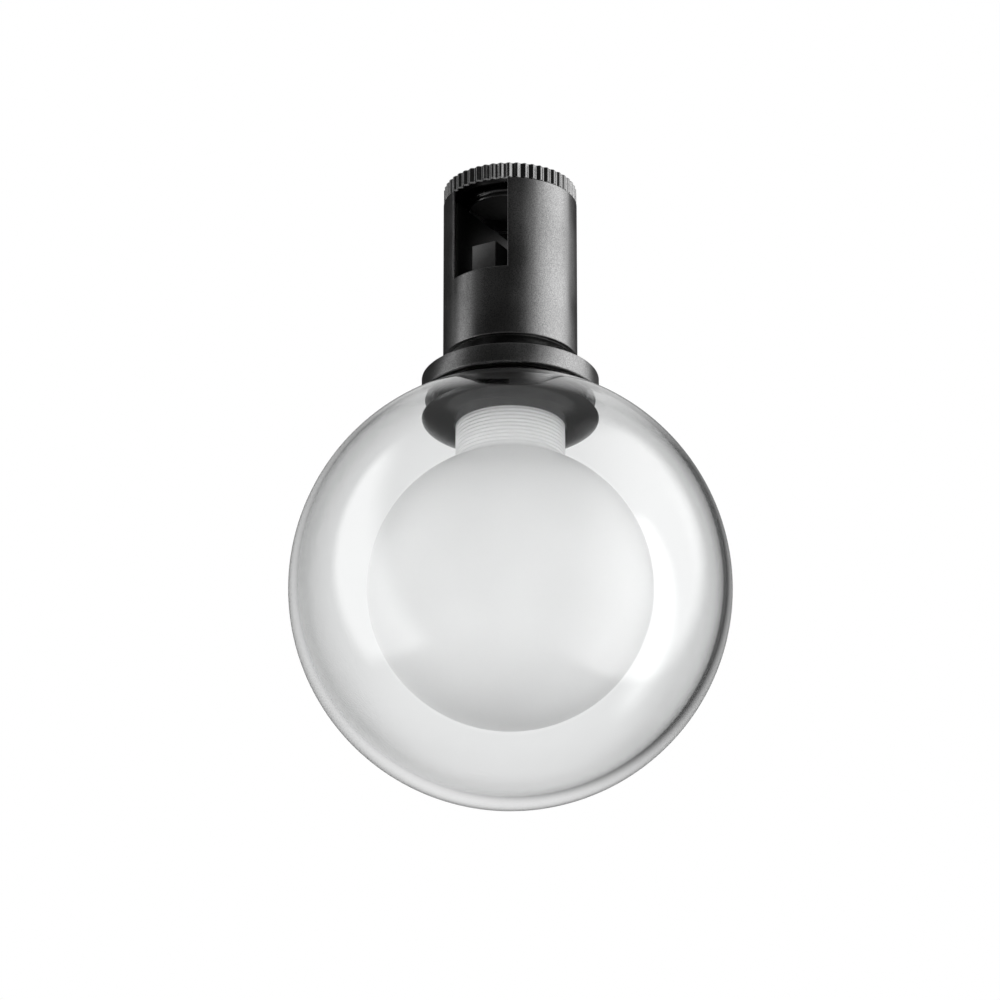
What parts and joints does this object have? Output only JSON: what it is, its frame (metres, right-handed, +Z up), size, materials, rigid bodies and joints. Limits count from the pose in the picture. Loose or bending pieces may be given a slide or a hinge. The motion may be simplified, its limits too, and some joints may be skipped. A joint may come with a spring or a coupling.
{
  "type": "track light",
  "caption": "Black round clamp head for a track bar, with a fluted screw cap, a contact block in a slot and a clear glass globe around a frosted inner ball.",
  "frame": {"origin": "on the head's axis, on top of the contact block, where the track bar rests", "axes": "+Z is up, out of the track seat towards the screw cap; the track bar and its slot run along Y; the globe hangs towards -Z"},
  "size_m": [0.14, 0.14, 0.2093],
  "materials": {
    "black_coat": "fine satin black coating",
    "black_coat_inner": "plain satin black coating",
    "black_polymer": "matte",
    "white_polymer": "matte",
    "terminal_polymer": "matte",
    "wire_cover": "matte",
    "capacitor_sleeve": "gloss",
    "inductor_ferrite": "matte",
    "board_green": "gloss lacquer",
    "board_white": "gloss lacquer",
    "phosphor": "gloss",
    "black_rubber": "matte",
    "contact_brass": "bright",
    "spring_steel": "plain",
    "screw_steel": "plain",
    "black_screw": "blackened",
    "plain_aluminium": "turned",
    "frosted_glass": "frosted white, matte outside",
    "clear_glass": "clear, polished"
  },
  "bodies": {
    "head": {"head_tube": "black_coat", "clamp_core": "black_coat_inner", "contact_block": "black_polymer", "block_screws": "screw_steel", "contact_sleeves": "contact_brass", "tail_bushes": "white_polymer", "contact_spring_front": "spring_steel", "contact_spring_rear": "spring_steel", "driver_board": "board_green", "board_pillars": "contact_brass", "board_screws": "screw_steel", "supply_terminals": "terminal_polymer", "supply_wires": "wire_cover", "smoothing_capacitor": "capacitor_sleeve", "inductor": "inductor_ferrite", "driver_chips": "black_polymer", "output_wires": "wire_cover", "end_plate": "black_coat", "tie_screws": "black_screw", "stop_pin": "spring_steel"},
    "cup": {"clamp_cup": "black_coat_inner", "cup_liner": "black_rubber", "thrust_washer": "white_polymer"},
    "cap": {"clamp_cap": "black_coat", "cap_rivet": "spring_steel"},
    "pin_front": {"contact_pin_front": "contact_brass"},
    "pin_rear": {"contact_pin_rear": "contact_brass"},
    "lamp": {"swivel_neck": "black_coat", "swivel_washer": "spring_steel", "swivel_nut": "plain_aluminium", "globe_holder": "black_coat", "locknut": "plain_aluminium", "ball_socket": "black_polymer", "socket_screws": "black_screw", "heat_spreader": "plain_aluminium", "led_board": "board_white", "led_chips": "phosphor", "led_screws": "screw_steel", "frosted_ball": "frosted_glass", "ball_collar": "black_coat_inner", "ball_seal": "black_rubber"},
    "gasket": {"globe_gasket": "black_rubber"},
    "globe": {"glass_globe": "clear_glass"}
  },
  "joints": [
    {"name": "cup_travel", "type": "slide", "parent": "head", "child": "cup", "axis": [0, 0, 1], "range_m": [0, 0.00301]},
    {"name": "cap_turn", "type": "hinge", "parent": "cup", "child": "cap", "pos_m": [0, 0, 0.0203], "axis": [0, 0, 1], "range_deg": [0, 720]},
    {"name": "pin_front_travel", "type": "slide", "parent": "head", "child": "pin_front", "axis": [0, 0, 1], "range_m": [-0.0009, 0], "stiffness_N_per_m": 300, "springref_m": 0.0015, "deforming": ["contact_spring_front"]},
    {"name": "pin_rear_travel", "type": "slide", "parent": "head", "child": "pin_rear", "axis": [0, 0, 1], "range_m": [-0.0009, 0], "stiffness_N_per_m": 300, "springref_m": 0.0015, "deforming": ["contact_spring_rear"]},
    {"name": "lamp_swivel", "type": "hinge", "parent": "head", "child": "lamp", "pos_m": [0, 0, -0.0346], "axis": [0, 0, 1], "range_deg": [-171, 171]},
    {"name": "gasket_travel", "type": "slide", "parent": "lamp", "child": "gasket", "axis": [0, 0, 1], "range_m": [-0.00301, 0]},
    {"name": "globe_turn", "type": "hinge", "parent": "gasket", "child": "globe", "pos_m": [0, 0, -0.0446], "axis": [0, 0, 1], "range_deg": [-360, 0]}
  ],
  "couplings": [
    {"joint": "cup_travel", "follows": "cap_turn", "m_per_rad": 0.00023873},
    {"joint": "gasket_travel", "follows": "globe_turn", "m_per_rad": 0.00047746}
  ]
}
